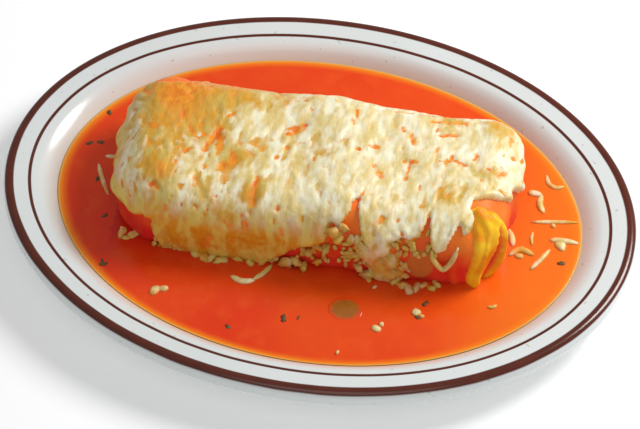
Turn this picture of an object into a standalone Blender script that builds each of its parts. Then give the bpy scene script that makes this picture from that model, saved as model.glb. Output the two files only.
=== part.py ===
"""A wet burrito on its oval platter: one rolled tortilla under a blanket of melted cheese, lying in a
pool of thin red sauce that fills the platter's well.

The frame is in metres, +Z up. The origin is under the middle of the platter, on the surface that its
foot ring stands on. +X runs along the platter's long axis, and -Y is the side of the longer drips.
"""

from math import cos, pi, radians, sin

import bmesh
import bpy
from mathutils import Matrix, Vector

MM = 0.001
GAP = 0.3 * MM  # kept between neighbouring pieces

# The platter, at its outer edge.
PLATTER_HALF_LENGTH = 159 * MM
PLATTER_HALF_WIDTH = 118 * MM
RIM_WIDTH = 15.3 * MM  # edge to verge, the same all round
WELL_END_SLACK = 0.36  # past the verge the wall leans further at the two ends than at the sides
FLOOR_TOP = 6.5 * MM
PLATTER_SIDES = 68

# Stations of the platter's section in mm, as (inset from the edge, height above the table).
TOP_OF_PLATTER = (
    (40.0, 6.5), (33.5, 7.4), (29.2, 10.0), (26.2, 13.5), (23.9, 17.3), (20.6, 21.4),
    (17.8, 23.8), (15.3, 24.9), (12.5, 25.5), (5.8, 26.6), (3.2, 27.0), (1.2, 26.1), (0.15, 24.4),
)
UNDER_THE_PLATTER = (
    (0.0, 20.8), (0.7, 18.4), (2.4, 16.9), (5.0, 16.7), (9.0, 17.3), (13.0, 16.9), (17.0, 14.6),
    (21.5, 9.3), (26.5, 4.6), (31.5, 1.7), (34.2, 0.35), (35.0, 0.0), (39.0, 0.0), (40.0, 1.0), (42.0, 1.3),
)

# The sauce.
SAUCE_LEVEL = 17.3 * MM
SAUCE_FILLET = 0.5 * MM  # the surface climbs this far up the wall

# The burrito, before its belly, waves and folds.
BURRITO_LENGTH = 196 * MM
BURRITO_WIDTH = 80 * MM
BURRITO_HEIGHT = 48 * MM
EDGE_RADIUS = 17 * MM
BURRITO_CENTRE = Vector((-1.5 * MM, 4.5 * MM, FLOOR_TOP + GAP))
BURRITO_TURN = radians(3)  # against the platter's long axis
BURRITO_CUTS = (21, 10, 6)  # extra edge loops along X, Y and Z
CHEESE_THICKNESS = 3 * MM


def clear_scene():
    for old in list(bpy.data.objects):
        bpy.data.objects.remove(old, do_unlink=True)


def make_collection(name, hidden=False):
    collection = bpy.data.collections.new(name)
    bpy.context.scene.collection.children.link(collection)
    collection.hide_render = hidden
    return collection


def make_material(name, colour, roughness):
    material = bpy.data.materials.new(name)
    material.use_nodes = True
    shader = material.node_tree.nodes["Principled BSDF"]
    shader.inputs["Base Color"].default_value = (*colour, 1)
    shader.inputs["Roughness"].default_value = roughness
    shader.inputs["Metallic"].default_value = 0
    return material


def make_object(name, bm, collection, material=None):
    """Turns a closed bmesh into an object with its faces pointing out."""
    bmesh.ops.recalc_face_normals(bm, faces=bm.faces)
    mesh = bpy.data.meshes.new(name)
    bm.to_mesh(mesh)
    bm.free()
    made = bpy.data.objects.new(name, mesh)
    collection.objects.link(made)
    mesh.shade_smooth()
    if material:
        mesh.materials.append(material)
    else:
        made.hide_render = True
        made.display_type = "WIRE"
    return made


def cut(target, cutter, operation="DIFFERENCE"):
    modifier = target.modifiers.new(cutter.name, "BOOLEAN")
    modifier.operation = operation
    modifier.solver = "EXACT"
    modifier.object = cutter


def smooth_step(value, start, end):
    share = min(1, max(0, (value - start) / (end - start)))
    return share * share * (3 - 2 * share)


# ---------------------------------------------------------------- platter and sauce

def oval_at(inset):
    """Half length and half width of the oval this far in from the platter's edge."""
    past_rim = max(0, inset - RIM_WIDTH)
    return (
        PLATTER_HALF_LENGTH - inset - past_rim * WELL_END_SLACK,
        PLATTER_HALF_WIDTH - inset,
    )


def add_oval(bm, inset, height):
    half_length, half_width = oval_at(inset)
    ring = bmesh.ops.create_circle(bm, segments=PLATTER_SIDES, radius=1)["verts"]
    bmesh.ops.scale(bm, verts=ring, vec=(half_length, half_width, 1))
    bmesh.ops.translate(bm, verts=ring, vec=(0, 0, height))
    return sorted({edge for vert in ring for edge in vert.link_edges}, key=lambda edge: edge.index)


def loft_ovals(stations):
    """Joins ovals at these (inset, height) stations into a closed body with flat ends."""
    bm = bmesh.new()
    rings = [add_oval(bm, inset, height) for inset, height in stations]
    for inner, outer in zip(rings, rings[1:]):
        bmesh.ops.bridge_loops(bm, edges=inner + outer)
    for end in (rings[0], rings[-1]):
        bmesh.ops.contextual_create(bm, geom=end)
    return bm


def make_platter(collection, material):
    section = [(inset * MM, height * MM) for inset, height in TOP_OF_PLATTER + UNDER_THE_PLATTER]
    return make_object("platter", loft_ovals(section), collection, material)


def make_sauce(collection, material, cutter):
    """The pool follows the well's wall up to the level, and is cut round the burrito."""
    wall = [(inset * MM, height * MM) for inset, height in TOP_OF_PLATTER if height * MM < SAUCE_LEVEL]
    section = [(inset + GAP, height + GAP) for inset, height in wall]
    edge = next(inset * MM for inset, height in TOP_OF_PLATTER if height * MM >= SAUCE_LEVEL)
    section.append((edge + GAP, SAUCE_LEVEL + SAUCE_FILLET))
    section.append((edge + GAP + 4 * SAUCE_FILLET, SAUCE_LEVEL))
    sauce = make_object("sauce", loft_ovals(section), collection, material)
    cut(sauce, cutter)
    return sauce


# ---------------------------------------------------------------- burrito and cheese

def add_shape_of_roll(point):
    """Bulges, waves and end folds of the rolled tortilla, on a point of the plain rounded bar."""
    x, y, z = point
    along = x / (BURRITO_LENGTH / 2)
    up = z / BURRITO_HEIGHT
    across = y / (BURRITO_WIDTH / 2)
    belly = cos(along * pi / 2) if abs(along) < 1 else 0
    y *= 1 + 0.03 * belly
    wave = 0.9 * sin(along * 7.3 + 0.6) + 0.6 * sin(along * 13.1 + across * 2)
    z += up * MM * (0.5 * belly * (1 - 0.7 * across * across) + wave)
    y += up * MM * 1.1 * sin(along * 6.1 + 1.9)
    # The ends are tucked in: they round off towards front and back, and upright pleats run down them.
    outwards = 1 if along > 0 else -1
    x -= outwards * MM * 5 * smooth_step(abs(along), 0.5, 1.0) * (across - 0.15) ** 2
    pleats = 0.5 * sin(across * 9.0 + 0.8) + 0.5 * sin(across * 16.0)
    x += outwards * MM * 1.3 * pleats * smooth_step(abs(along), 0.84, 1.0)
    return Vector((x, y, z))


def burrito_bm(offset):
    """A rounded bar, this far outside the tortilla's face, shaped as the rolled tortilla."""
    bm = bmesh.new()
    bmesh.ops.create_cube(bm, size=2)
    for axis, cuts in enumerate(BURRITO_CUTS):
        along_axis = [
            edge for edge in bm.edges
            if abs(edge.verts[0].co[axis] - edge.verts[1].co[axis]) > 1e-6
        ]
        bmesh.ops.subdivide_edges(bm, edges=along_axis, cuts=cuts, use_grid_fill=True)
    half = Vector((BURRITO_LENGTH, BURRITO_WIDTH, BURRITO_HEIGHT)) / 2
    core = half - Vector((EDGE_RADIUS,) * 3)
    lift = Vector((0, 0, half.z))
    for vert in bm.verts:
        corner = Vector(c * h for c, h in zip(vert.co, half))
        inner = Vector(max(-k, min(k, c)) for c, k in zip(corner, core))
        outwards = (corner - inner).normalized()
        vert.co = add_shape_of_roll(inner + outwards * (EDGE_RADIUS + offset) + lift)
    place = Matrix.Translation(BURRITO_CENTRE) @ Matrix.Rotation(BURRITO_TURN, 4, "Z")
    bmesh.ops.transform(bm, matrix=place, verts=bm.verts)
    return bm


def drip_line(x, y):
    """Height at which the melted cheese ends: down at the sauce in front, higher behind and at +X."""
    lowest = SAUCE_LEVEL + 0.9 * MM
    wave = 0.5 + 0.5 * sin(x / MM / 5.6 + 0.9)
    front = lowest + MM * (13 * smooth_step(x / MM, -12, 12) + 8 * smooth_step(x / MM, 62, 92))
    front += 5 * MM * wave * smooth_step(x / MM, -40, 0)
    back = lowest + MM * (10 + 5 * wave)
    side = lowest + MM * (5 + 13 * smooth_step(x / MM, -40, 60))
    behind = smooth_step(y / MM, -30, 34)
    at_end = smooth_step(abs(x) / MM, 80, 94)
    around = front * (1 - behind) + back * behind
    return around * (1 - at_end) + max(side, around) * at_end


def make_trim(collection):
    """A block that fills the space under the drip line, to trim the cheese with."""
    bm = bmesh.new()
    grid = bmesh.ops.create_grid(bm, x_segments=44, y_segments=20, size=1)["verts"]
    bmesh.ops.scale(bm, verts=grid, vec=(BURRITO_LENGTH * 0.62, BURRITO_WIDTH * 0.8, 1))
    for vert in grid:
        vert.co.z = drip_line(vert.co.x, vert.co.y)
    walls = bmesh.ops.extrude_face_region(bm, geom=list(bm.faces))["geom"]
    for vert in (item for item in walls if isinstance(item, bmesh.types.BMVert)):
        vert.co.z = -10 * MM
    return make_object("cheese_trim", bm, collection)


def make_cheese(collection, material, core, trim):
    cheese = make_object("melted_cheese", burrito_bm(GAP + CHEESE_THICKNESS), collection, material)
    cut(cheese, core)
    cut(cheese, trim)
    return cheese


def main():
    clear_scene()
    pieces = make_collection("wet_burrito")
    helpers = make_collection("cutters", hidden=True)
    glaze = make_material("glazed_stoneware", (0.78, 0.80, 0.78), 0.12)
    sauce_red = make_material("red_sauce", (0.75, 0.08, 0.012), 0.18)
    tortilla_brown = make_material("sauce_soaked_tortilla", (0.72, 0.22, 0.04), 0.45)
    cream = make_material("melted_cheese", (0.80, 0.64, 0.33), 0.35)
    around_tortilla = make_object("room_for_tortilla", burrito_bm(GAP), helpers)
    make_platter(pieces, glaze)
    make_sauce(pieces, sauce_red, around_tortilla)
    make_object("tortilla", burrito_bm(0), pieces, tortilla_brown)
    make_cheese(pieces, cream, around_tortilla, make_trim(helpers))


main()
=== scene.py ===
# %% [markdown]
# # A wet burrito on its oval platter
# The imported model is the frame: it fixes where the platter, the sauce, the tortilla and the melted
# cheese are, and how big they are. Everything below builds the finished surfaces round it, in the
# same metres and with +Z up. The four plain solids stay in the file, hidden, and each is
# replaced by a finer piece. The small loose things, such as shreds and herbs, are made only here.

# %% Load the frame
from math import cos, pi, radians, sin

import bmesh
import bpy
import numpy as np
from mathutils import Matrix, Vector, noise


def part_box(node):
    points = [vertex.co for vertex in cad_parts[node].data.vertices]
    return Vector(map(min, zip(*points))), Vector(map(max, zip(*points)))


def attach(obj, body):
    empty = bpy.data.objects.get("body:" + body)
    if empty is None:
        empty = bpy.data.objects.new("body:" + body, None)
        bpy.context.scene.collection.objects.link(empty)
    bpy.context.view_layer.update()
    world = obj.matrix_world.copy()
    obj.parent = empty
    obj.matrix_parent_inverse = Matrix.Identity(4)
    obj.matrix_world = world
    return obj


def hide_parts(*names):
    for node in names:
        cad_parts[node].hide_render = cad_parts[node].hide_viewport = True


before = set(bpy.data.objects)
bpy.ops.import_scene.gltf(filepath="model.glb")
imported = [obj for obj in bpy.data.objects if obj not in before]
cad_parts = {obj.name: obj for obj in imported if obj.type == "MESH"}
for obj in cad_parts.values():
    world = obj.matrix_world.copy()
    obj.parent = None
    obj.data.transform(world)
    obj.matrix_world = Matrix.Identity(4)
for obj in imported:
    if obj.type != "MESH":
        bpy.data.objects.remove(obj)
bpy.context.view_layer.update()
MM = 0.001
print("frame nodes:", sorted(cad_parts))

# %% [markdown]
# ## Camera and lights
# The platter is seen from in front and a little to the right, about 52 degrees above the table, with
# a long lens, so that its far and near rims look nearly the same size. Aiming the camera at the
# middle of the burrito's height and placing it by two angles keeps those facts as named numbers.
# Food like this is lit by one big soft lamp behind it and to the right, which gives the cheese its
# shine and drops a soft shadow on the sauce in front. A weak lamp opposite opens the shadows.

# %% Camera
CAMERA_TURN = radians(13.1)
CAMERA_RISE = radians(51.7)
CAMERA_DISTANCE = 1.5
CAMERA_LENS_MM = 170.2
AIM = Vector((0, 0, 25.5 * MM))


def from_origin(turn, rise):
    """A unit vector towards a place `turn` round from -Y towards +X, and `rise` above the table."""
    return Vector((sin(turn) * cos(rise), -cos(turn) * cos(rise), sin(rise)))


camera_data = bpy.data.cameras.new("camera")
camera_data.lens = CAMERA_LENS_MM
camera_data.shift_x = 0.0027
camera_data.shift_y = -0.0266
camera = bpy.data.objects.new("camera", camera_data)
bpy.context.scene.collection.objects.link(camera)
bpy.context.scene.camera = camera
camera.location = AIM + from_origin(CAMERA_TURN, CAMERA_RISE) * CAMERA_DISTANCE
camera.rotation_euler = (AIM - camera.location).to_track_quat("-Z", "Y").to_euler()
print("camera at", [round(c, 3) for c in camera.location])

# %% Lamps and table
SCENE = bpy.context.scene
SCENE.view_settings.view_transform = "Standard"


def add_lamp(name, turn, rise, distance, size, watts):
    data = bpy.data.lights.new(name, "AREA")
    data.shape = "DISK"
    data.size = size
    data.energy = watts
    lamp = bpy.data.objects.new(name, data)
    SCENE.collection.objects.link(lamp)
    lamp.location = AIM + from_origin(turn, rise) * distance
    lamp.rotation_euler = (AIM - lamp.location).to_track_quat("-Z", "Y").to_euler()


add_lamp("key_lamp", radians(126), radians(46), 0.95, 0.42, 7.6)
add_lamp("fill_lamp", radians(10), radians(62), 1.5, 1.0, 2.6)
world = bpy.data.worlds.new("studio")
world.use_nodes = True
world.node_tree.nodes["Background"].inputs["Color"].default_value = (1, 1, 1, 1)
world.node_tree.nodes["Background"].inputs["Strength"].default_value = 0.34
SCENE.world = world

# %% [markdown]
# ## Shader sums as Python
# A node graph is easier to read as a formula. `Wire` holds one output of a node, and adding,
# multiplying or comparing wires adds the Math nodes. Its `make` method adds any other node.

# %% A wire that can do sums
def linear(red, green, blue):
    """A colour given as a screen shows it, from 0 to 255, in the linear values that a shader takes."""
    parts = [c / 255 for c in (red, green, blue)]
    return tuple(c / 12.92 if c <= 0.04045 else ((c + 0.055) / 1.055) ** 2.4 for c in parts)


class Wire:
    """One output of a node. Sums on it add Math nodes to the same tree."""

    def __init__(self, tree, socket=None):
        self.tree = tree
        self.socket = socket

    def make(self, kind, settings=(), values=(), out=0):
        """Adds a node of this kind: its settings first, then the values or wires of its sockets."""
        node = self.tree.nodes.new(kind)
        for name, value in dict(settings).items():
            if name != "stops":
                setattr(node, name, value)
                continue
            ramp = node.color_ramp
            while len(ramp.elements) < len(value):
                ramp.elements.new(1)
            for element, (place, colour) in zip(ramp.elements, value):
                element.position = place
                element.color = (*colour, 1)
        for name, value in dict(values).items():
            self.feed(node.inputs[name], value)
        return Wire(self.tree, node.outputs[out])

    def feed(self, target, value):
        if isinstance(value, Wire):
            self.tree.links.new(value.socket, target)
        elif target.type == "RGBA":
            target.default_value = (*value, 1)
        else:
            target.default_value = value

    def math(self, operation, *values, clamp=False):
        settings = {"operation": operation, "use_clamp": clamp}
        return self.make("ShaderNodeMath", settings, enumerate(values))

    def __add__(self, other):
        return self.math("ADD", self, other)

    def __radd__(self, other):
        return self.math("ADD", other, self)

    def __sub__(self, other):
        return self.math("SUBTRACT", self, other)

    def __rsub__(self, other):
        return self.math("SUBTRACT", other, self)

    def __mul__(self, other):
        return self.math("MULTIPLY", self, other)

    def __rmul__(self, other):
        return self.math("MULTIPLY", other, self)

    def clamp(self):
        return self.math("ADD", self, 0.0, clamp=True)

    def rise(self, low, high):
        """0 below `low`, 1 above `high`, and a smooth step between."""
        settings = {"interpolation_type": "SMOOTHSTEP"}
        values = {"Value": self, "From Min": low, "From Max": high}
        return self.make("ShaderNodeMapRange", settings, values)

    def attribute(self, name):
        return self.make("ShaderNodeAttribute", {"attribute_name": name}, out=2)

    def place(self, stretch=(1, 1, 1)):
        """Object coordinates, squeezed by `stretch`."""
        coordinates = self.make("ShaderNodeTexCoord", out=3)
        return self.make("ShaderNodeMapping", values={"Vector": coordinates, "Scale": stretch})

    def noise(self, size, detail=2.0, stretch=(1, 1, 1), roughness=0.5):
        """Cloudy noise whose blots are about this many metres across."""
        values = {"Vector": self.place(stretch), "Scale": 0.6 / size}
        values.update({"Detail": detail, "Roughness": roughness})
        return self.make("ShaderNodeTexNoise", values=values)

    def mix(self, share, first, second):
        """Goes from the first colour to the second as `share` goes from 0 to 1."""
        return self.make("ShaderNodeMix", {"data_type": "RGBA"}, {0: share, 6: first, 7: second}, out=2)

    def bump(self, height, distance, strength=1.0):
        values = {"Height": height, "Distance": distance, "Strength": strength}
        return self.make("ShaderNodeBump", values=values)


def start_material(name):
    """A new material: the wire to build on, and its Principled shader."""
    material = bpy.data.materials.new(name)
    material.use_nodes = True
    shader = material.node_tree.nodes["Principled BSDF"]
    return material, Wire(material.node_tree), shader


print("screen grey 128 is linear", round(linear(128, 128, 128)[0], 3))

# %% [markdown]
# ## Turning a bmesh into a piece
# Every piece is made in place, round the frame's origin, so its object never moves. Its faces are
# turned outwards, it is shaded smooth, and it rides on the frame's one body. Numbers that a
# shader needs, such as how deep the sauce is, are kept on the vertices under a name.

# %% Finish a piece
def finish_piece(name, bm, material, replaces=()):
    bmesh.ops.recalc_face_normals(bm, faces=bm.faces)
    mesh = bpy.data.meshes.new(name)
    bm.to_mesh(mesh)
    bm.free()
    mesh.shade_smooth()
    mesh.materials.append(material)
    piece = bpy.data.objects.new(name, mesh)
    SCENE.collection.objects.link(piece)
    for node in replaces:
        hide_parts(node)
    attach(piece, "root")
    mesh.calc_loop_triangles()
    print(name, len(mesh.loop_triangles), "triangles")
    return piece


# %% Numbers on the vertices
def store_values(bm, **layers):
    """Keeps a number per vertex under each name, for the shader to read."""
    for name, values in layers.items():
        store = bm.verts.layers.float.new(name)
        for vert, value in zip(bm.verts, values):
            vert[store] = float(value)


# %% [markdown]
# ## The table
# A plain pale surface, wide enough that its edge is never seen.

# %% Table
table_paint, wire, shader = start_material("table_paint")
shader.inputs["Roughness"].default_value = 0.9
shader.inputs["Emission Color"].default_value = (1, 1, 1, 1)
shader.inputs["Emission Strength"].default_value = 0.2
wire.feed(shader.inputs["Base Color"], wire.mix(wire.noise(0.08), (0.90, 0.90, 0.90), (0.93, 0.93, 0.93)))
bm = bmesh.new()
bmesh.ops.create_grid(bm, x_segments=1, y_segments=1, size=4)
table_mesh = bpy.data.meshes.new("table")
bm.to_mesh(table_mesh)
bm.free()
table_mesh.materials.append(table_paint)
table = bpy.data.objects.new("table", table_mesh)
SCENE.collection.objects.link(table)
print("table:", [round(side, 1) for side in table.dimensions], "m")

# %% [markdown]
# ## The platter
# A restaurant platter is stoneware: a deep oval well, a flat rim, and a rolled edge that makes it
# strong. Every ring of it is an oval the same distance in from the edge, so the shape is a section of
# (inset, height) stations lofted round the oval. The solid has the same stations; here a smooth
# curve runs through them. Each vertex remembers its inset, and the glaze paints the two brown bands
# by that number, so they keep an even width all round.

# %% Section of the platter
PLATTER_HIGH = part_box("platter")[1]
HALF_LENGTH = PLATTER_HIGH.x
HALF_WIDTH = PLATTER_HIGH.y
RIM_WIDTH = 15.3
WELL_END_SLACK = 0.36
TOP_STATIONS = (
    (60.0, 6.5), (42.0, 6.5), (33.5, 7.4), (29.2, 10.0), (26.2, 13.5), (23.9, 17.3), (20.6, 21.4),
    (17.8, 23.8), (15.3, 24.9), (12.5, 25.5), (5.8, 26.6), (3.2, 27.0), (1.2, 26.1), (0.15, 24.2),
)
UNDER_STATIONS = (
    (0.0, 20.8), (0.7, 18.4), (2.4, 16.9), (5.0, 16.7), (9.0, 17.3), (13.0, 16.9), (17.0, 14.6),
    (21.5, 9.3), (26.5, 4.6), (31.5, 1.8), (34.2, 0.5), (35.0, 0.1), (39.0, 0.1), (40.0, 1.0),
    (42.0, 1.3), (60.0, 1.5),
)


def curve_through(stations, steps):
    """Catmull-Rom points through the stations, `steps` to each stretch."""
    points = [np.array(p, float) for p in stations]
    points = [2 * points[0] - points[1]] + points + [2 * points[-1] - points[-2]]
    found = []
    for before, start, end, after in zip(points, points[1:], points[2:], points[3:]):
        for step in range(steps):
            t = step / steps
            found.append(0.5 * (
                2 * start + (end - before) * t + (2 * before - 5 * start + 4 * end - after) * t * t
                + (3 * start - before - 3 * end + after) * t ** 3
            ))
    return found + [points[-2]]


def oval_at(inset):
    """Half length and half width, in metres, of the oval this many mm in from the edge."""
    past_rim = max(0, inset - RIM_WIDTH)
    return HALF_LENGTH - (inset + past_rim * WELL_END_SLACK) * MM, HALF_WIDTH - inset * MM


def loft_ovals(rows, sides, layers=()):
    """Draws an oval through (inset, height, *layer values) rows, in mm, into a closed body."""
    bm = bmesh.new()
    stores = [bm.verts.layers.float.new(name) for name in layers]
    ring = bmesh.ops.create_circle(bm, segments=sides, radius=1)["verts"]
    edges = bm.edges[:]
    size = Vector((1, 1))
    for number, (inset, height, *values) in enumerate(rows):
        if number:
            made = bmesh.ops.extrude_edge_only(bm, edges=edges)["geom"]
            ring = [item for item in made if isinstance(item, bmesh.types.BMVert)]
            new = set(ring)
            edges = [e for e in made if isinstance(e, bmesh.types.BMEdge) and new.issuperset(e.verts)]
        else:
            bmesh.ops.contextual_create(bm, geom=edges)
        target = Vector(oval_at(inset))
        bmesh.ops.scale(bm, verts=ring, vec=(target.x / size.x, target.y / size.y, 1))
        size = target
        for vert in ring:
            vert.co.z = height * MM
            for store, value in zip(stores, values):
                vert[store] = value
    bmesh.ops.contextual_create(bm, geom=edges)
    return bm


print("platter is", round(2000 * HALF_LENGTH), "by", round(2000 * HALF_WIDTH), "mm")

# %% [markdown]
# The glaze is a thin pool of glass over the clay: cool white, very smooth, with faint clouds and a
# few pin specks. The bands are brown slip under it. The outer one thins towards its edges, where the
# white shows through, so its borders are a soft step instead of a hard line.

# %% Glaze
glaze, wire, shader = start_material("banded_glaze")
inset = wire.attribute("inset") + (wire.noise(0.012) - 0.5) * 0.35
outer_band = inset.rise(0.5, 1.1) * (1 - inset.rise(5.0, 5.7))
inner_band = inset.rise(12.2, 12.6) * (1 - inset.rise(13.8, 14.3))
clouds = wire.noise(0.03, detail=3)
white = wire.mix(clouds, linear(214, 221, 220), linear(226, 230, 228))
# Painted shade and painted warm bounce from the sauce: the well wall is a darker, warmer cream than the
# rim.
wall_shade_and_bounce = wire.mix(clouds, linear(216, 212, 201), linear(226, 222, 212))
white = wire.mix(inset.rise(16, 24), white, wall_shade_and_bounce)
specks = (wire.noise(0.0016, detail=0) - 0.80).rise(0.0, 0.03)
white = wire.mix(specks * 0.35, white, linear(150, 140, 125))
brown = wire.mix(wire.noise(0.006, detail=3), linear(74, 26, 12), linear(98, 42, 24))
colour = wire.mix((outer_band + inner_band).clamp(), white, brown)
wire.feed(shader.inputs["Base Color"], colour)
wire.feed(shader.inputs["Roughness"], 0.13 + 0.08 * clouds)
wire.feed(shader.inputs["Normal"], wire.bump(wire.noise(0.02), 0.0004, 0.15))

top = [(p[0], p[1], p[0]) for p in curve_through(TOP_STATIONS, 5)]
under = [(p[0], p[1], -p[0] - 1) for p in curve_through(UNDER_STATIONS, 3)]
platter_bm = loft_ovals(top + under, 256, ("inset",))
finish_piece("banded_platter", platter_bm, glaze, ["platter"])

# %% [markdown]
# ## The sauce
# The sauce is thin and smooth, so it finds its own level in the well. Where it thins out over the
# sloping wall the white glaze lights it from below, and it goes from red-orange to yellow. Each
# vertex of the pool remembers how deep the sauce is under it, and the colour follows that depth.
# The surface climbs the wall by half a millimetre, and slow swells keep it from being a mirror.
# A second number paints shade: dark crimson close in front of the roll and past its left end.

# %% Sauce pool
SAUCE_LEVEL = 17.3
SAUCE_EDGE = 23.9
FLOOR_TOP = 6.5
GAP = 0.3


def wall_height(inset):
    """Height of the platter's upper side at this inset, in mm."""
    insets = [station[0] for station in TOP_STATIONS][::-1]
    heights = [station[1] for station in TOP_STATIONS][::-1]
    return float(np.interp(inset, insets, heights))


def sauce_rows():
    rows = [(60.0, FLOOR_TOP + GAP, 11.0)]
    for inset in np.arange(42, SAUCE_EDGE + GAP, -1.2):
        rows.append((inset + GAP, wall_height(inset) + GAP, SAUCE_LEVEL - wall_height(inset)))
    rows.append((SAUCE_EDGE + GAP - 0.35, SAUCE_LEVEL + 0.55, 0))
    for step in range(1, 13):
        away = 0.35 * step
        rise = 0.6 * np.exp(-away / 0.9)
        depth_here = SAUCE_LEVEL - wall_height(SAUCE_EDGE + away)
        rows.append((SAUCE_EDGE + GAP - 0.3 + away, SAUCE_LEVEL + rise, depth_here))
    for inset in np.arange(SAUCE_EDGE + 5.5, 112, 1.6):
        rows.append((inset, SAUCE_LEVEL, SAUCE_LEVEL - wall_height(inset)))
    return rows


def swell(bm, level, height, size, seed):
    """Moves the vertices of the level surface up and down in slow swells."""
    for vert in bm.verts:
        if abs(vert.co.z - level) < 0.02 * MM:
            vert.co.z += height * noise.noise(vert.co / size + Vector((seed, 0, 0)))


sauce_skin, wire, shader = start_material("thin_chile_sauce")
depth = wire.attribute("depth")
pulp = wire.noise(0.006, detail=4, roughness=0.6)
drift = wire.noise(0.05, detail=2)
deep = wire.mix(drift.rise(0.35, 0.65), linear(226, 58, 16), linear(232, 76, 18))
deep = wire.mix((pulp - 0.5).clamp() * 1.2, deep, linear(242, 104, 30))
# Towards the right end the sauce turns more orange: partly its own colour, partly painted light from the
# lamp side.
along = wire.make("ShaderNodeSeparateXYZ", values={"Vector": wire.place()})
deep = wire.mix(along.rise(0.06, 0.12) * 0.7, deep, linear(244, 126, 24))
# Painted shade: dark crimson where the roll's shadow falls on the sauce.
deep = wire.mix(wire.attribute("settled"), deep, linear(190, 22, 18))
edge = wire.mix(depth.rise(0.0, 2.2), linear(236, 176, 84), linear(243, 132, 22))
colour = wire.mix((depth + (drift - 0.5) * 2).rise(1.2, 6.5), edge, deep)
wire.feed(shader.inputs["Base Color"], colour)
wire.feed(shader.inputs["Roughness"], 0.10 + 0.16 * pulp)
wire.feed(shader.inputs["Normal"], wire.bump(wire.noise(0.003, detail=3) + drift, 0.0003, 0.25))
shader.inputs["Subsurface Weight"].default_value = 0.12
shader.inputs["Subsurface Scale"].default_value = 0.0015
shader.inputs["Specular IOR Level"].default_value = 0.35

sauce_bm = loft_ovals(sauce_rows(), 220, ("depth",))
swell(sauce_bm, SAUCE_LEVEL * MM, 0.25 * MM, 0.022, 3.0)
ROLL_END = 97 * MM
CONTACT_SHADE_REACH = 13 * MM
# Painted shade on the sauce: dark crimson within about 13 mm of the roll's front and left end,
# strong in front, faint past the left end, and none behind the roll or past its right end.
settled = []
for vert in sauce_bm.verts:
    x, y = vert.co.xy
    ahead = max(abs(x + 2 * MM) - ROLL_END, 0)
    aside = max(-33 * MM - y + 0.05 * x, 0)
    near = max(0, 1 - np.hypot(ahead, aside) / CONTACT_SHADE_REACH) ** 1.5
    in_front = np.clip((14 * MM - y) / (30 * MM), 0, 1) * np.clip((85 * MM - x) / (15 * MM), 0, 1)
    settled.append((0.8 if x > -ROLL_END else 0.2) * near * in_front)
store_values(sauce_bm, settled=settled)
finish_piece("sauce_pool", sauce_bm, sauce_skin, ["sauce"])

# %% [markdown]
# ## The shape of the roll
# A filled tortilla rolled up and tucked in at both ends is a long rounded bar. The bar starts as a
# cube cut into a fine grid. Each point is pulled to a core block and pushed out again by the edge
# radius, which rounds every edge. Bulges, a slight belly and the tucked ends come from a few sine
# waves. The tortilla and the cheese use the same bar, so one always lies snugly on the other.

# %% Rolled bar
LENGTH, WIDTH, HEIGHT, EDGE = 196 * MM, 80 * MM, 48 * MM, 17 * MM
BURRITO_AT = np.array([-1.5 * MM, 4.5 * MM, (FLOOR_TOP + GAP) * MM])
BURRITO_TURN = radians(3)
CORE = np.array([LENGTH, WIDTH, HEIGHT]) / 2 - EDGE


def cube_grid(cuts):
    """A cube of side 2 with this many extra loops along X, Y and Z."""
    bm = bmesh.new()
    bmesh.ops.create_cube(bm, size=2)
    for axis, count in enumerate(cuts):
        along = [e for e in bm.edges if abs(e.verts[0].co[axis] - e.verts[1].co[axis]) > 1e-6]
        bmesh.ops.subdivide_edges(bm, edges=along, cuts=count, use_grid_fill=True)
    return bm


def smooth_step(value, start, end):
    share = np.clip((value - start) / (end - start), 0, 1)
    return share * share * (3 - 2 * share)


def on_bar(cube_points, offset=0.0):
    """Points of the cube moved to the rounded bar, `offset` outside it, and the way out at each."""
    half = np.array([LENGTH, WIDTH, HEIGHT]) / 2
    corner = cube_points * half
    inner = np.clip(corner, -CORE, CORE)
    out = corner - inner
    out /= np.linalg.norm(out, axis=1, keepdims=True)
    lift = np.array([0, 0, HEIGHT / 2])
    return inner + out * (EDGE + np.reshape(offset, (-1, 1))) + lift, out


def as_rolled(points):
    """Bulges, waves and tucked ends on points of the plain bar."""
    x, y, z = points.T
    along = x / (LENGTH / 2)
    across = y / (WIDTH / 2)
    up = z / HEIGHT
    belly = np.where(abs(along) < 1, np.cos(along * pi / 2), 0)
    y = y * (1 + 0.03 * belly)
    wave = 0.9 * np.sin(along * 7.3 + 0.6) + 0.6 * np.sin(along * 13.1 + across * 2)
    z = z + up * MM * (0.5 * belly * (1 - 0.7 * across ** 2) + wave)
    y = y + up * MM * 1.1 * np.sin(along * 6.1 + 1.9)
    outwards = np.sign(along)
    x = x - outwards * MM * 5 * smooth_step(abs(along), 0.5, 1.0) * (across - 0.15) ** 2
    pleats = 0.5 * np.sin(across * 9.0 + 0.8) + 0.5 * np.sin(across * 16.0)
    x = x + outwards * MM * 1.3 * pleats * smooth_step(abs(along), 0.84, 1.0)
    return np.stack([x, y, z], axis=1)


def in_place(points):
    """From the burrito's own axes to the frame's."""
    turn = np.array(Matrix.Rotation(BURRITO_TURN, 3, "Z"))
    return points @ turn.T + BURRITO_AT


def read_points(bm):
    return np.array([vert.co[:] for vert in bm.verts])


def write_points(bm, points):
    for vert, point in zip(bm.verts, points):
        vert.co = point


def clouds_at(points, size, seed=0.0):
    """Smooth noise from about -1 to 1 at each point, with blots of this size."""
    shift = Vector((seed, -seed, 2 * seed))
    return np.array([noise.noise(Vector(p) / size + shift) for p in points])


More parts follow.
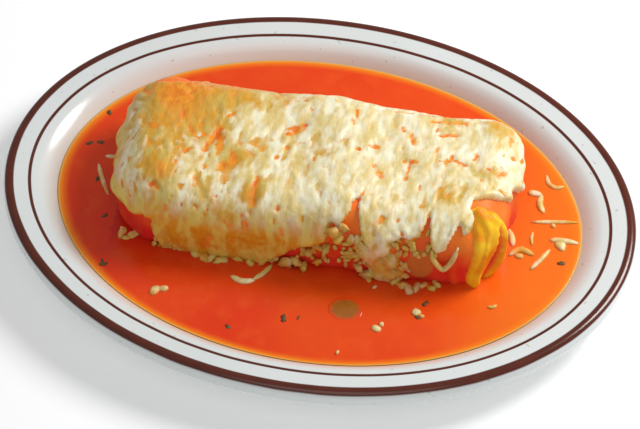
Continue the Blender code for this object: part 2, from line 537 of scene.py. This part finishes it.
def closeness(points, path, width):
    """1 on the path, falling to 0 this far from it, rounded as a cord is."""
    nearest = np.full(len(points), np.inf)
    path = np.array(path, float)
    for start, end in zip(path, path[1:]):
        run = end - start
        if not run.any():
            continue
        t = np.clip(((points - start) @ run) / (run @ run), 0, 1)
        nearest = np.minimum(nearest, np.linalg.norm(points - start - t[:, None] * run, axis=1))
    return np.sqrt(np.clip(1 - (nearest / width) ** 2, 0, 1))


print("bar is", [round(s / MM) for s in (LENGTH, WIDTH, HEIGHT)], "mm")

# %% [markdown]
# ## The tortilla
# Most of the tortilla is hidden. It shows low on the front, where sauce has soaked it red, and at
# the right front corner, where the end was folded in: two upright pleats stand there, yellow with
# oil. A toasted spot from the griddle sits on the front. Wrinkles are real mesh, made by noise that
# is stretched along the drop, because the wet sheet sags downwards.

# %% Tortilla mesh
BASE = np.array([0, 0, (FLOOR_TOP + GAP) * MM])


def burrito_path(*points):
    """Places on the burrito given in mm: along it, across it, and above the table."""
    return [np.array(p) * MM - BASE for p in points]


def on_corner(*places):
    """Places round the right front corner: degrees from the front towards the end, and mm down the skin."""
    path = []
    for turn, drop in places:
        lean = min(drop * MM / EDGE, pi / 2)
        reach = EDGE * sin(lean)
        below = max(drop * MM - EDGE * pi / 2, 0)
        side = Vector((sin(radians(turn)), -cos(radians(turn)))) * reach
        height = HEIGHT - EDGE + EDGE * cos(lean) - below
        path.append(np.array([CORE[0] + side.x, -CORE[1] + side.y, height]))
    return path


PLEATS = (
    (on_corner((56, 4), (46, 14), (40, 26), (30, 40), (32, 50)), 3.4 * MM, 2.6 * MM),
    (on_corner((78, 5), (66, 16), (56, 28), (42, 40), (36, 50)), 3.4 * MM, 2.6 * MM),
    (on_corner((90, 12), (88, 24), (76, 36), (56, 46), (44, 52)), 3.4 * MM, 2.4 * MM),
    (on_corner((-12, 30), (-6, 48)), 3.0 * MM, 0.9 * MM),
)
CREASE = on_corner((80, 18), (72, 28), (60, 38), (42, 49))
TOASTED = np.array([59, -41, 32]) * MM - BASE

tortilla_bm = cube_grid((150, 64, 38))
cube_points = read_points(tortilla_bm)
plain, out = on_bar(cube_points)
squeezed = plain * np.array([1, 1, 0.35])
wrinkle = clouds_at(squeezed, 9 * MM, 1.0) * 0.9 + clouds_at(squeezed, 4 * MM, 2.0) * 0.35
fold = np.zeros(len(plain))
offset = wrinkle * 0.7 * MM
for path, width, height in PLEATS:
    near = closeness(plain, path, width)
    offset += height * near
    fold = np.maximum(fold, closeness(plain, path, width * 1.35) * height / (2.8 * MM))
offset -= 2.4 * MM * closeness(plain, CREASE, 2.0 * MM)
fold *= 1 - 0.7 * closeness(plain, CREASE, 1.8 * MM)
from_spot = np.linalg.norm((plain - TOASTED) / [0.8, 1, 1.15], axis=1)
toast = 1 - smooth_step(from_spot, 8.5 * MM, 10.5 * MM)
offset += 0.8 * MM * toast
from_corner = (plain / MM - [-80, 38, 40]) / [14, 9, 8]
back_corner = np.exp(-np.sum(from_corner ** 2, axis=1))
offset += 3.0 * MM * back_corner
shaped = as_rolled(on_bar(cube_points, offset)[0])
store_values(tortilla_bm, fold=fold, toast=toast)
write_points(tortilla_bm, in_place(shaped))

# %% Soaked tortilla
soaked, wire, shader = start_material("soaked_tortilla")
height = wire.make("ShaderNodeSeparateXYZ", values={"Vector": wire.place()}, out=2)
blotch = wire.noise(0.014, detail=3)
low = wire.mix(blotch.rise(0.35, 0.65), linear(232, 40, 36), linear(244, 70, 40))
high = wire.mix(blotch.rise(0.3, 0.7), linear(244, 92, 26), linear(250, 130, 34))
colour = wire.mix((height + (blotch - 0.5) * 0.02).rise(0.022, 0.050), low, high)
oily = wire.mix(wire.noise(0.008).rise(0.4, 0.6), linear(250, 150, 10), linear(255, 200, 30))
colour = wire.mix(wire.attribute("fold").rise(0.15, 0.8), colour, oily)
griddle = wire.mix(wire.noise(0.005, detail=3), linear(190, 98, 38), linear(222, 136, 60))
toasted = (wire.attribute("toast") + (wire.noise(0.006) - 0.5) * 0.5).rise(0.35, 0.65)
colour = wire.mix(toasted, colour, griddle)
wire.feed(shader.inputs["Base Color"], colour)
wire.feed(shader.inputs["Roughness"], 0.36 + 0.25 * blotch)
wire.feed(shader.inputs["Normal"], wire.bump(wire.noise(0.003, detail=4), 0.0008, 0.55))
shader.inputs["Subsurface Weight"].default_value = 0.12
shader.inputs["Subsurface Scale"].default_value = 0.002
shader.inputs["Specular IOR Level"].default_value = 0.3
finish_piece("rolled_tortilla", tortilla_bm, soaked, ["tortilla"])

# %% [markdown]
# ## The melted cheese
# Shredded white cheese was strewn over the burrito and melted until most shreds ran together. The
# sheet ends in thick rounded lobes at the front and hangs down to the sauce on the left. It is the
# same bar again, pushed out by the thickness of the cheese. How far each point is inside the drip
# line sets that thickness, so the edge rolls over like a real drip. Shreds that still show are laid
# down one by one on top, mostly along the drop, and small gaps between them show orange oil.

# %% Where the cheese ends
def drop_of(plain, out):
    """How far down the skin each point is from the flat top, in mm. On the flat top it is below 0."""
    shoulder = HEIGHT - EDGE
    lean = np.arccos(np.clip(out[:, 2], -1, 1))
    drop = np.where(lean < pi / 2 - 1e-3, EDGE * lean, EDGE * pi / 2 + shoulder - plain[:, 2])
    inside = np.minimum(CORE[1] - abs(plain[:, 1]), CORE[0] - abs(plain[:, 0]))
    return np.where(lean < 1e-3, -inside, drop) / MM


FRONT_DRIPS = (
    (-100, 24), (-92, 30), (-88, 27), (-84, 24), (-81, 34), (-77, 44), (-70, 54), (-24, 54), (-12, 42),
    (-3, 34),
    (5, 29), (11, 26), (14, 19), (19, 15), (22, 9), (24, 1), (26, 10), (28, 18), (31, 24), (34, 29),
    (41, 29), (45, 20), (48, 16), (53, 17.5), (58, 14), (60.5, 5), (62, 12), (64, 20), (68, 23), (73, 21),
    (76, 13), (78, 8), (81, 13), (85, 12), (88, 7), (100, 2),
)
BACK_DRIPS = ((-100, 8), (-88, 5), (-72, 12), (-60, 27), (-30, 31), (0, 26), (34, 33), (60, 27), (100, 30))
RIGHT_DRIPS = ((-18, -2), (-12, 12), (-7, 21), (-2, 19), (4, 26), (12, 31), (22, 24), (30, 27), (40, 28))
LEFT_DRIPS = ((-40, 30), (-20, 26), (0, 30), (20, 22), (40, 8))
FRONT_PATCHES = ((34, 30, 6), (37, 37, 6), (40, 44, 6.5), (46, 42, 4), (44, 32, 4.5), (17, 24, 3.2))
FRONT_GAPS = ((14, 17, 2.2), (47, 22, 3), (-83, 30, 4))


def inside_edge(plain, out, drop):
    """How far each point lies inside the edge of the cheese, in mm. Outside it is below 0."""
    x, y = plain[:, 0] / MM, plain[:, 1] / MM
    level = np.linalg.norm(out[:, :2], axis=1)
    sideways = out[:, :2] / np.maximum(level, 1e-9)[:, None]
    on_top = level < 1e-6
    to_end = np.where(on_top, smooth_step(abs(x), 76, 84), sideways[:, 0] ** 2)
    front_share = np.where(on_top, y < 0, sideways[:, 1] < 0)
    sides = np.where(front_share, np.interp(x, *zip(*FRONT_DRIPS)), np.interp(x, *zip(*BACK_DRIPS)))
    ends = np.where(x > 0, np.interp(y, *zip(*RIGHT_DRIPS)), np.interp(y, *zip(*LEFT_DRIPS)))
    inside = sides * (1 - to_end) + ends * to_end - drop
    for along, down, radius in FRONT_PATCHES:
        patch = radius - np.hypot(x - along, drop - down)
        inside = np.where(front_share, np.maximum(inside, patch), inside)
    for along, down, radius in FRONT_GAPS:
        gap = np.hypot(x - along, drop - down) - radius
        inside = np.where(front_share, np.minimum(inside, gap), inside)
    return inside


print("drip line has", len(FRONT_DRIPS), "turns in front")

# %% Sheet of cheese
EDGE_WIDTH = 3.2
SHEET = 2.0 * MM
KEEP_OUTSIDE = -1.3

cheese_bm = cube_grid((214, 92, 50))
cube_points = read_points(cheese_bm)
plain, out = on_bar(cube_points)
drop = drop_of(plain, out)
inside = inside_edge(plain, out, drop)
spare = [vert for vert, value, down in zip(cheese_bm.verts, inside, drop) if value < -4 or down > 53]
bmesh.ops.delete(cheese_bm, geom=spare, context="VERTS")
cube_points = read_points(cheese_bm)
plain, out = on_bar(cube_points)
drop = drop_of(plain, out)
inside = inside_edge(plain, out, drop)
inside += 1.5 * clouds_at(plain, 5 * MM, 4.0) + 0.9 * clouds_at(plain, 2.2 * MM, 5.0)
spare = [vert for vert, value in zip(cheese_bm.verts, inside) if value < KEEP_OUTSIDE]
kept = inside >= KEEP_OUTSIDE
bmesh.ops.delete(cheese_bm, geom=spare, context="VERTS")
cube_points, plain, out, drop, inside = (a[kept] for a in (cube_points, plain, out, drop, inside))
print("cheese sheet:", len(cheese_bm.verts), "points,", len(cube_points), "kept")

# %% [markdown]
# ### Listed gaps and stains
# The eye goes first to the larger gaps in the cheese and to the broad orange stains at the left,
# along the back and in the lobes, so these have their own places. A gap is a short path of places
# and its half width. A stain is a place, how far it spreads, and how strong it is.

# %% Listed gaps and stains
PITS = (   # path of (along, across, above the table), then half width, all in mm
    (((-50, 4, 56), (-54, -8, 56)), 2.2),
    (((-16, 8, 55), (-9, 12, 56)), 2.6),
    (((-26, -22, 56), (-26, -34, 52)), 1.9),
    (((-56, -26, 55), (-55, -29, 55)), 1.7),
    (((5, 5, 57), (6, 3, 57)), 1.9),
    (((10, 22, 57), (11, 14, 57), (9, 10, 57)), 0.9),
    (((13, 0, 57), (13, -2, 57)), 1.1),
    (((18, -4, 57), (19, -5, 57)), 1.2),
    (((7, -15, 57), (6, -18, 57)), 1.6),
    (((29, -4, 56), (32, -9, 56)), 1.8),
    (((27, 16, 56), (25, 12, 56)), 1.1),
    (((15, 26, 55), (16, 20, 56)), 1.1),
    (((39, 21, 55), (40, 20, 55)), 1.4),
    (((44, 18, 55), (46, 13, 55)), 1.5),
    (((43, 2, 55), (49, 2, 55)), 1.1),
    (((46, 1, 55), (45, -9, 55)), 1.0),
    (((53, -12, 55), (53, -14, 55)), 1.0),
    (((28, -13, 56), (27, -20, 56), (25, -26, 54)), 1.1),
    (((58, 12, 55), (58, 8, 55)), 1.0),
    (((60, 4, 55), (68, 5, 55), (74, 3, 54)), 0.9),
    (((58, 20, 55), (66, 22, 54)), 1.2),
    (((88, 6, 54), (91, 3, 53), (89, -1, 53)), 1.3),
    (((-30, -38, 48), (-28, -40, 42)), 1.6),
    (((-38, -39, 46), (-36, -40, 43)), 1.8),
    (((2, 30, 55), (20, 31, 55), (34, 32, 53), (52, 33, 52)), 0.8),
    (((52, 28, 54), (70, 30, 53), (86, 24, 53)), 1.1),
)
STAINS = (   # along, across, above the table, spread, all in mm, then strength
    (-70, 17, 55, 20, 1.0), (-76, 24, 52, 14, 1.0), (-65, 31, 50, 12, 1.0), (-75, -25, 55, 9, 0.9),
    (-39, -10, 55, 9, 0.8), (-50, 0, 55, 8, 0.5), (-48, 35, 48, 16, 0.9), (-22, 29, 53, 10, 0.8),
    (-7, 31, 54, 8, 0.7), (-26, -28, 54, 7, 0.9), (-37, -39, 46, 7, 0.9), (-72, -40, 34, 9, 0.7),
    (-92, 0, 45, 14, 0.4), (70, -16, 54, 9, 0.7), (62, 33, 50, 12, 0.6), (84, 29, 52, 9, 0.9),
    (88, 0, 53, 7, 0.8), (39, -22, 54, 7, 0.5), (5, -36, 48, 7, 0.7), (30, -36, 46, 11, 0.7),
    (58, -34, 48, 9, 0.5), (38, -41, 27, 12, 0.8), (46, -41, 26, 8, 0.7),
)
print(len(PITS), "gaps and", len(STAINS), "stains by hand")


# %% [markdown]
# ### Shreds and gaps
# Each shred starts somewhere on the skin and takes a few short steps along it, mostly downwards. The
# skin is raised under its path with a round cross-section. The highest shred wins where several
# cross, which is how a heap of melted shreds looks. Gaps are the same thing the other way round,
# some at random and some from the list above, and noise breaks their outlines.

# %% Lay the shreds
dice = np.random.default_rng(7)
SHREDS, GAPS = 1250, 80


def walk(start, steps, step_length, spread):
    """A path over the skin that begins at point number `start` and heads down, give or take."""
    at = plain[start]
    path = [at]
    lean = dice.normal(0, spread)
    for _ in range(steps):
        normal = out[start]
        down = np.array([0, 0, -1]) + np.array([0, 1 if at[1] > 0 else -1, 0]) * 0.8
        side = np.cross(normal, down)
        side /= np.linalg.norm(side)
        ahead = np.cross(side, normal)
        goal = at + (ahead * np.cos(lean) + side * np.sin(lean)) * step_length
        start = int(np.argmin(((plain - goal) ** 2).sum(axis=1)))
        at = plain[start]
        path.append(at)
        lean += dice.normal(0, 0.25)
    return np.array(path)


def raise_along(field, path, width, height):
    """Lifts the field along a path to this height, with a round cross-section."""
    middle = path.mean(axis=0)
    reach = np.abs(path - middle).max() * 1.8 + width
    near = np.nonzero(((plain - middle) ** 2).sum(axis=1) < reach ** 2)[0]
    field[near] = np.maximum(field[near], height * closeness(plain[near], path, width))


relief = np.zeros(len(plain))
for _ in range(SHREDS):
    start = int(dice.integers(len(plain)))
    path = walk(start, int(dice.integers(2, 5)), dice.uniform(2.5, 4.5) * MM, 0.45)
    raise_along(relief, path, dice.uniform(1.2, 2.2) * MM, dice.uniform(0.5, 1.15) * MM)
pits = np.zeros(len(plain))
for _ in range(GAPS):
    start = int(dice.integers(len(plain)))
    path = walk(start, 1, dice.uniform(0.6, 3.0) * MM, 0.7)
    raise_along(pits, path, dice.uniform(0.6, 1.5) * MM, 1.0)
for path, width in PITS:
    raise_along(pits, np.array(burrito_path(*path)), width * 1.15 * MM, 1.0)
pits *= np.clip(0.75 + 0.9 * clouds_at(plain, 2.4 * MM, 8.0), 0, 1)
print("relief up to", round(float(relief.max()) / MM, 2), "mm")

# %% [markdown]
# ### Thickness and stain
# The thickness goes up in a quarter circle from the edge, which gives the rolled lip, and is fullest
# just behind it, where the cheese gathers. The stain numbers say where orange oil has soaked in:
# mostly on the left and along the back, in the gaps, and in the hollows. The ochre shade number is
# painted shade: it darkens the lower skin on the left to ochre, away from the lamp.

# %% Shape the sheet
from_edge = np.clip(inside / EDGE_WIDTH, 0, 1)
lip = np.sqrt(1 - (1 - from_edge) ** 2)
gathered = np.exp(-((inside - 4.0) / 2.8) ** 2) * smooth_step(drop, 0, 10)
soft = clouds_at(plain, 13 * MM, 6.0)
x, y = plain[:, 0] / MM, plain[:, 1] / MM
lumpy = smooth_step(drop, 18, 40)
offset = lip * (SHEET + 0.9 * MM * gathered + 0.5 * MM * soft)
offset += lip * relief * (0.75 + 0.45 * lumpy)
offset -= pits * 1.0 * MM * lip
offset = np.where(inside < 0, inside * MM * 0.8, offset)
hollow = 1 - np.clip(relief / (0.55 * MM), 0, 1)
leftness = smooth_step(-x, 0, 62)
backness = smooth_step(y, 18, 38) * smooth_step(-x, -20, 40)
stain = 0.4 * leftness + 0.3 * backness + 0.32 * hollow + 0.35 * (1 - from_edge)
oil = np.clip(pits * 1.1 + hollow * (0.25 + 0.5 * leftness) * smooth_step(-soft, -0.2, 0.2), 0, 1)
for along, across, above, radius, strength in STAINS:
    away = np.linalg.norm(plain - burrito_path((along, across, above))[0], axis=1) / MM
    stain = np.maximum(stain, stain * 0.6 + strength * 0.75 * np.exp(-((away / radius) ** 2)))
# Painted shade: the lower part of the cheese on the left half turns ochre.
ochre = smooth_step(drop, 8, 29) * smooth_step(-x, -50, -10)

store_values(cheese_bm, thickness=offset, stain=stain, oil=oil, ochre=ochre)
made = bmesh.ops.extrude_face_region(cheese_bm, geom=cheese_bm.faces[:])["geom"]
inner = {item for item in made if isinstance(item, bmesh.types.BMVert)}
thickness = cheese_bm.verts.layers.float["thickness"]
offset = np.array([-0.9 * MM if vert in inner else vert[thickness] for vert in cheese_bm.verts])
write_points(cheese_bm, in_place(as_rolled(on_bar(read_points(cheese_bm), offset)[0])))
outer = [vert for vert in cheese_bm.verts if vert not in inner]
for _ in range(2):
    bmesh.ops.smooth_vert(
        cheese_bm, verts=outer, factor=0.5, use_axis_x=True, use_axis_y=True, use_axis_z=True
    )
cheese_bm.verts.layers.float.remove(thickness)
print("cheese sheet:", len(outer), "points outside,", len(inner), "inside")

# %% Cheese
cheese_skin, wire, shader = start_material("melted_white_cheese")
streaks = wire.noise(0.0035, detail=3, stretch=(1, 0.45, 0.4))
mottle = wire.noise(0.010, detail=3)
fine = wire.noise(0.0016, detail=3, stretch=(1, 0.5, 0.5))
stain = wire.attribute("stain")
veins = (streaks * 0.7 + fine * 0.3).rise(0.36, 0.62)
cream = wire.mix(veins, linear(246, 239, 208), linear(226, 202, 134))
gold = wire.mix(streaks.rise(0.4, 0.6), linear(216, 156, 44), linear(208, 176, 84))
amber = wire.mix(fine.rise(0.35, 0.65), linear(226, 122, 24), linear(236, 158, 44))
colour = wire.mix((mottle * 0.9 + fine * 0.35 + stain * 0.75).rise(0.80, 1.12), cream, gold)
colour = wire.mix((stain + (streaks - 0.5) * 0.9 + (fine - 0.5) * 0.5).rise(0.66, 1.12), colour, amber)
# Painted shade: the lower left of the cheese is darkened to ochre.
shaded_skirt = wire.mix(streaks.rise(0.4, 0.62), linear(222, 150, 24), linear(228, 194, 84))
colour = wire.mix((wire.attribute("ochre") * (0.75 + mottle)).clamp(), colour, shaded_skirt)
orange = wire.mix(fine.rise(0.35, 0.65), linear(232, 112, 22), linear(242, 156, 40))
colour = wire.mix((wire.attribute("oil") + (fine - 0.5) * 0.7).rise(0.15, 0.85), colour, orange)
wire.feed(shader.inputs["Base Color"], colour)
wire.feed(shader.inputs["Roughness"], 0.26 + 0.26 * mottle)
wire.feed(shader.inputs["Normal"], wire.bump(fine + streaks * 0.8, 0.0008, 0.7))
shader.inputs["Subsurface Weight"].default_value = 0.15
shader.inputs["Subsurface Scale"].default_value = 0.002
shader.inputs["Specular IOR Level"].default_value = 0.4
finish_piece("melted_cheese_blanket", cheese_bm, cheese_skin, ["melted_cheese"])

# %% [markdown]
# ## Shreds, curds and crumbs
# A shred is a soft cord a few millimetres long. It is a ring pushed along a short curved path, wider
# than it is high, and it narrows at both ends. A curd is a small ball, squashed and made knobbly by
# noise. Dozens of them make one piece, so that the whole heap moves together.

# %% Strand and lump
def pour_into(heap, bm):
    """Adds a small bmesh to the heap. Operators are quick on a small one and slow on a big one."""
    mesh = bpy.data.meshes.new("one_bit")
    bm.to_mesh(mesh)
    bm.free()
    heap.from_mesh(mesh)
    bpy.data.meshes.remove(mesh)


def add_strand(heap, path, radius, flat=0.7, sides=8, steps=4):
    """A shred along a path of points in metres: rings across it that narrow to round ends."""
    bm = bmesh.new()
    points = [Vector(p) for p in curve_through(path, steps)]
    last = len(points) - 1
    ring = bmesh.ops.create_circle(bm, segments=sides, radius=1)["verts"]
    edges = list({edge for vert in ring for edge in vert.link_edges})
    before = Matrix.Identity(4)
    for number, point in enumerate(points):
        along = (points[min(number + 1, last)] - points[max(number - 1, 0)]).normalized()
        side = along.cross(Vector((0, 0, 1)))
        side = side.normalized() if side.length > 0.1 else Vector((1, 0, 0))
        up = side.cross(along)
        taper = radius * max(0.35, 1 - abs(2 * number / last - 1) ** 5)
        turned = Matrix((side, up, along)).transposed().to_4x4()
        now = Matrix.Translation(point) @ turned @ Matrix.Diagonal((taper, taper * flat, 1, 1))
        if number:
            made = bmesh.ops.extrude_edge_only(bm, edges=edges)["geom"]
            ring = [item for item in made if isinstance(item, bmesh.types.BMVert)]
            new = set(ring)
            edges = [e for e in made if isinstance(e, bmesh.types.BMEdge) and new.issuperset(e.verts)]
        else:
            bmesh.ops.contextual_create(bm, geom=edges)
        bmesh.ops.transform(bm, matrix=now @ before.inverted(), verts=ring)
        before = now
    bmesh.ops.contextual_create(bm, geom=edges)
    pour_into(heap, bm)


def add_lump(heap, at, size, seed, knobbly=0.3, detail=2):
    """A squashed knobbly ball at a point, its three half sizes in metres, turned by its seed."""
    bm = bmesh.new()
    ball = bmesh.ops.create_icosphere(bm, subdivisions=detail, radius=1)["verts"]
    for vert in ball:
        vert.co *= 1 + knobbly * noise.noise(vert.co * 1.6 + Vector((seed * 3.1, seed, 0)))
    turned = Matrix.Rotation(seed * 2.4, 4, "Z") @ Matrix.Diagonal((*size, 1))
    bmesh.ops.transform(bm, matrix=Matrix.Translation(at) @ turned, verts=ball)
    pour_into(heap, bm)


def on_sauce(x, y, above=0.2):
    return np.array([x, y, SAUCE_LEVEL + above]) * MM


# %% [markdown]
# ### Floating shreds
# A few stragglers lie in the sauce on the left, and more beside the right end, off its short side.

# %% Floating shreds
FLOATING = (   # path of (x, y) on the sauce, then half width, all in mm
    (((-112, 8), (-106, 9)), 1.2), (((-114, 2), (-110, -6), (-104, -16)), 1.2),
    (((-32, -51), (-26, -53), (-20, -51)), 1.7), (((-21, -51), (-17, -46), (-14, -40)), 1.4),
    (((107, 46), (109, 41), (113, 39), (117, 41)), 1.3), (((100, 33), (107, 33)), 1.8),
    (((107, 33), (107, 27), (110, 22)), 1.7), (((105, 15), (116, 17.5), (128, 20)), 1.15),
    (((116, 6), (122, 7), (130, 7)), 1.6), (((119, 5), (124, 1)), 1.8), (((110, -14), (117, 0)), 1.4),
    (((98, -8), (103, -3), (110, -5)), 1.7), (((101, -7), (105, -7)), 1.6), (((107, 9), (108, 1)), 0.8),
    (((93, 9), (97, 4), (99, -2)), 1.7), (((94, -41), (98, -39)), 1.0), (((104, -1), (104, -4)), 1.0),
)
CRUMBS = (   # x, y and the two half sizes
    (-66, -68, 3.4, 2.2), (-62, -66, 2.4, 1.8), (44, -66, 2.6, 1.9), (46, -63, 1.4, 1.2),
    (61, -52, 2.2, 2.4), (64, -54, 1.2, 1.2), (29, -84, 0.8, 1.4), (116, 15, 1.4, 1.2),
    (122, 4, 3.2, 2.4), (38, -42, 1.4, 0.8),
)

shreds_bm = bmesh.new()
for path, radius in FLOATING:
    points = [on_sauce(*p) for p in path]
    if len(points) == 2:
        points.insert(1, (points[0] + points[1]) / 2 + dice.normal(0, 0.5, 3) * [MM, MM, 0])
    add_strand(shreds_bm, points, radius * MM)
for number, (across, deep, wide, long) in enumerate(CRUMBS):
    add_lump(shreds_bm, on_sauce(across, deep), (wide * MM, long * MM, 1.1 * MM), number + 0.5)
count = len(shreds_bm.verts)
# The floating shreds get a little of the ochre painted shade all over.
store_values(shreds_bm, stain=[0.42] * count, oil=[0.05] * count, ochre=[0.12] * count)
finish_piece("floating_shreds", shreds_bm, cheese_skin)

# %% [markdown]
# ### Curds stuck to the burrito
# Shreds that slid off the top before they melted cling to the front and lie in a row at its foot.

# %% Curds at the foot
def on_skin(*points):
    """Places in mm along, across and above the table, on the finished burrito."""
    return in_place(as_rolled(np.array(burrito_path(*points))))


def on_front(along, drop, above=0.0):
    """A place on the plain bar's front, in mm along it, down the skin from the flat top, and out of it."""
    lean = min(drop * MM / EDGE, pi / 2)
    reach = EDGE + above * MM
    below = max(drop * MM - EDGE * pi / 2, 0)
    return np.array([along * MM, -CORE[1] - reach * sin(lean), HEIGHT - EDGE + reach * cos(lean) - below])


CLUSTERS = (   # how many, from and to along the roll, from and to down its front
    (70, 24, 40, 18, 32), (70, 28, 52, 30, 45), (30, 40, 66, 10, 24), (110, -80, -12, 41, 47),
    (24, -4, 24, 26, 40),
)
HOOK = ((65, -41, 45), (67, -42.5, 39), (73, -42.5, 32), (78, -41, 38), (80, -39, 45))
CLINGING = (   # along, across, above the table, half width
    (16, -40.5, 46.5, 3.6), (20, -39, 49, 2.4), (3, -42, 30, 2.4), (12, -42, 35, 2.6), (8, -42, 24, 2.0),
    (-8, -42, 20, 3.4), (-3, -42, 22, 3.0), (1, -42, 19, 2.6), (89, -9, 54, 2.4), (33, -42, 20, 3.0),
    (28, -42, 24, 2.4), (84, -38, 36, 1.6),
)
FOOT = (   # x and y on the sauce, half width
    (-91, -37, 2.6), (-85, -37, 2.6), (-88, -40, 1.8), (-53, -41.5, 2.8), (-48, -42, 3.0),
    (-44, -42, 2.6), (-39, -43, 2.9), (-31, -40, 2.4), (-25, -40, 2.6), (-19, -39, 2.0),
    (47, -36, 2.6), (51, -37.5, 2.6), (54, -39, 2.8), (58, -37.5, 2.3), (61, -35.5, 2.0),
    (65, -36, 2.2), (67, -33, 2.2), (34, -37, 2.3),
)
curds_bm = bmesh.new()
add_strand(curds_bm, on_skin(*HOOK), 1.7 * MM)
for number, (along, across, above, radius) in enumerate(CLINGING):
    at = on_skin((along, across, above))[0]
    add_lump(curds_bm, at, np.array([1.25, 0.7, 0.8]) * radius * MM, number + 0.2, knobbly=0.8)
for number, (across, deep, radius) in enumerate(FOOT):
    size = np.array([1.3, 0.75, 0.65]) * radius * MM
    add_lump(curds_bm, on_sauce(across, deep, 0.0), size, number + 0.7, knobbly=0.8)
for amount, low_end, high_end, top_drop, foot_drop in CLUSTERS:
    for _ in range(amount):
        place = np.array([dice.uniform(low_end, high_end), dice.uniform(top_drop, foot_drop)])
        step = np.array([dice.normal(0, 1.4), dice.uniform(0.5, 2.6)])
        path = [on_front(*(place + step * number), 0.7) for number in range(3)]
        add_strand(curds_bm, in_place(as_rolled(np.array(path))), dice.uniform(0.9, 1.6) * MM, 0.9, 6, 3)
count = len(curds_bm.verts)
# Painted shade: the lower a curd sits, the more ochre shade it gets, most where it meets the sauce.
low = [1 - min(1, max(0, (vert.co.z / MM - 17) / 22)) for vert in curds_bm.verts]
store_values(curds_bm, stain=[0.54] * count, oil=[0.12] * count, ochre=[0.1 + 0.3 * value for value in low])
finish_piece("curds_at_foot", curds_bm, cheese_skin)

# %% [markdown]
# ## Herbs and a chile slice
# The last small things are looks only: flakes of dried herb on the sauce, and a slice of green chile
# sunk just under it. The slice is a flat lens whose colour fades to the sauce's own towards its rim,
# so it looks covered without any see-through shader.

# %% Herbs
HERBS = (   # x and y on the sauce, half length
    (-122, 14, 1.8), (-117, 16, 1.7), (-118, 36, 1.6), (-112, -7, 1.3), (-102, -29, 1.5),
    (-95, -58, 1.8), (-26, -81, 1.6), (-1, -70, 2.0), (64, -46, 1.6), (124, -7, 1.8), (62, -55, 1.3),
    (-96, -56, 1.0), (6, -68, 1.0),
)
herb_leaf, wire, shader = start_material("dried_herb")
wire.feed(shader.inputs["Base Color"], wire.mix(wire.noise(0.001), linear(70, 52, 22), linear(112, 84, 34)))
shader.inputs["Roughness"].default_value = 0.5
herbs_bm = bmesh.new()
for number, (across, deep, radius) in enumerate(HERBS):
    size = np.array([1.2, 0.7, 0.18]) * radius * MM
    add_lump(herbs_bm, on_sauce(across, deep, 0.05), size, number + 0.3, knobbly=0.7)
finish_piece("herb_flakes", herbs_bm, herb_leaf)

# %% Sunk chile slice
SLICE_AT = (27, -58)
chile_flesh, wire, shader = start_material("chile_under_sauce")
middle = wire.attribute("middle") + (wire.noise(0.003) - 0.5) * 0.5
flesh = wire.mix(wire.noise(0.002), linear(150, 84, 26), linear(176, 108, 34))
wire.feed(shader.inputs["Base Color"], wire.mix(middle.rise(0.1, 0.6), linear(228, 70, 18), flesh))
shader.inputs["Roughness"].default_value = 0.16
slice_bm = bmesh.new()
bmesh.ops.create_uvsphere(slice_bm, u_segments=40, v_segments=20, radius=1)
middles = [1 - Vector(vert.co.xy).length ** 2 for vert in slice_bm.verts]
store_values(slice_bm, middle=middles)
shape = Matrix.Translation(on_sauce(*SLICE_AT, -0.05)) @ Matrix.Diagonal((8.5 * MM, 7 * MM, 0.45 * MM, 1))
bmesh.ops.transform(slice_bm, matrix=shape, verts=slice_bm.verts)
finish_piece("sunk_chile_slice", slice_bm, chile_flesh)
